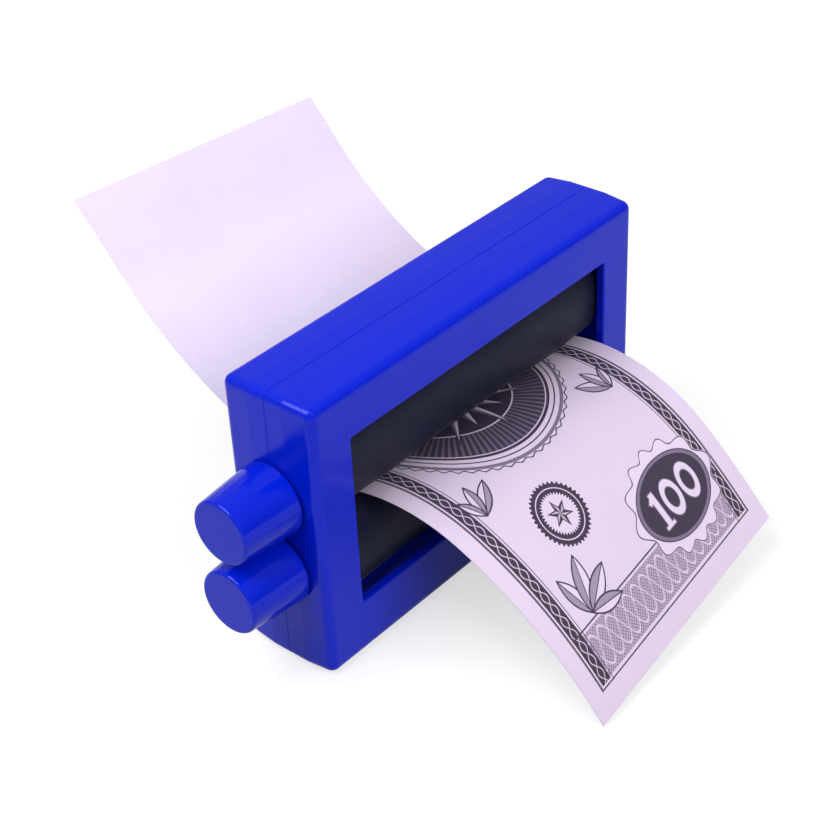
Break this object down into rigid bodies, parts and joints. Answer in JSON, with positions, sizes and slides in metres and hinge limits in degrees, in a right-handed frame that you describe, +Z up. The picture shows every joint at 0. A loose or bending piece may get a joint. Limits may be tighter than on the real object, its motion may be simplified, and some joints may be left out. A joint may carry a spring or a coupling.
{
  "type": "trick note printer",
  "caption": "Pocket-size trick printer: two knobs turn cloth-wound rollers in a windowed box, taking in a blank sheet and giving out a printed note.",
  "frame": {"origin": "middle of the underside of the box, on the parting plane of the two shells", "axes": "+X along the box away from the knobs, +Y towards the blank sheet at the back, +Z up; the printed note leaves towards -Y"},
  "size_m": [0.1255, 0.1444, 0.0785],
  "materials": {
    "blue_plastic": "glossy moulded, deep blue",
    "knob_plastic": "glossy moulded, deep blue",
    "screw_steel": "zinc plated",
    "roller_plastic": "extruded, satin black",
    "plug_plastic": "moulded, satin black",
    "black_cloth": "black coated cloth, satin",
    "note_paper": "uncoated paper with dark line print on one face",
    "blank_paper": "uncoated paper, unprinted"
  },
  "bodies": {
    "housing": {"front_shell": "blue_plastic", "back_shell": "blue_plastic", "shell_screws": "screw_steel"},
    "lower_spool": {"lower_roller": "roller_plastic", "lower_drive_plug": "plug_plastic", "lower_end_plug": "plug_plastic", "lower_cloth": "black_cloth", "lower_cloth_strip": "roller_plastic", "lower_knob": "knob_plastic"},
    "upper_spool": {"upper_roller": "roller_plastic", "upper_drive_plug": "plug_plastic", "upper_end_plug": "plug_plastic", "upper_cloth": "black_cloth", "upper_cloth_strip": "roller_plastic", "upper_knob": "knob_plastic"},
    "note": {"printed_note": "note_paper"},
    "blank": {"blank_sheet": "blank_paper"}
  },
  "joints": [
    {"name": "lower_knob_turn", "type": "hinge", "parent": "housing", "child": "lower_spool", "pos_m": [0, 0, 0.02517], "axis": [1, 0, 0], "range_deg": [-20, 510]},
    {"name": "upper_knob_turn", "type": "hinge", "parent": "housing", "child": "upper_spool", "pos_m": [0, 0, 0.04292], "axis": [1, 0, 0], "range_deg": [-510.5, 20.5]},
    {"name": "note_feed", "type": "slide", "parent": "housing", "child": "note", "axis": [0, -0.9652, 0.2614], "range_m": [-0.0032, 0.0791], "deforming": ["printed_note"]},
    {"name": "blank_feed", "type": "hinge", "parent": "housing", "child": "blank", "pos_m": [0, -0.0023, 0.12665], "axis": [1, 0, 0], "range_deg": [-49, 2], "deforming": ["blank_sheet"]}
  ],
  "couplings": [
    {"joint": "upper_knob_turn", "follows": "lower_knob_turn", "ratio": -1},
    {"joint": "note_feed", "follows": "lower_knob_turn", "m_per_rad": 0.008875},
    {"joint": "blank_feed", "follows": "lower_knob_turn", "ratio": -0.09584}
  ]
}
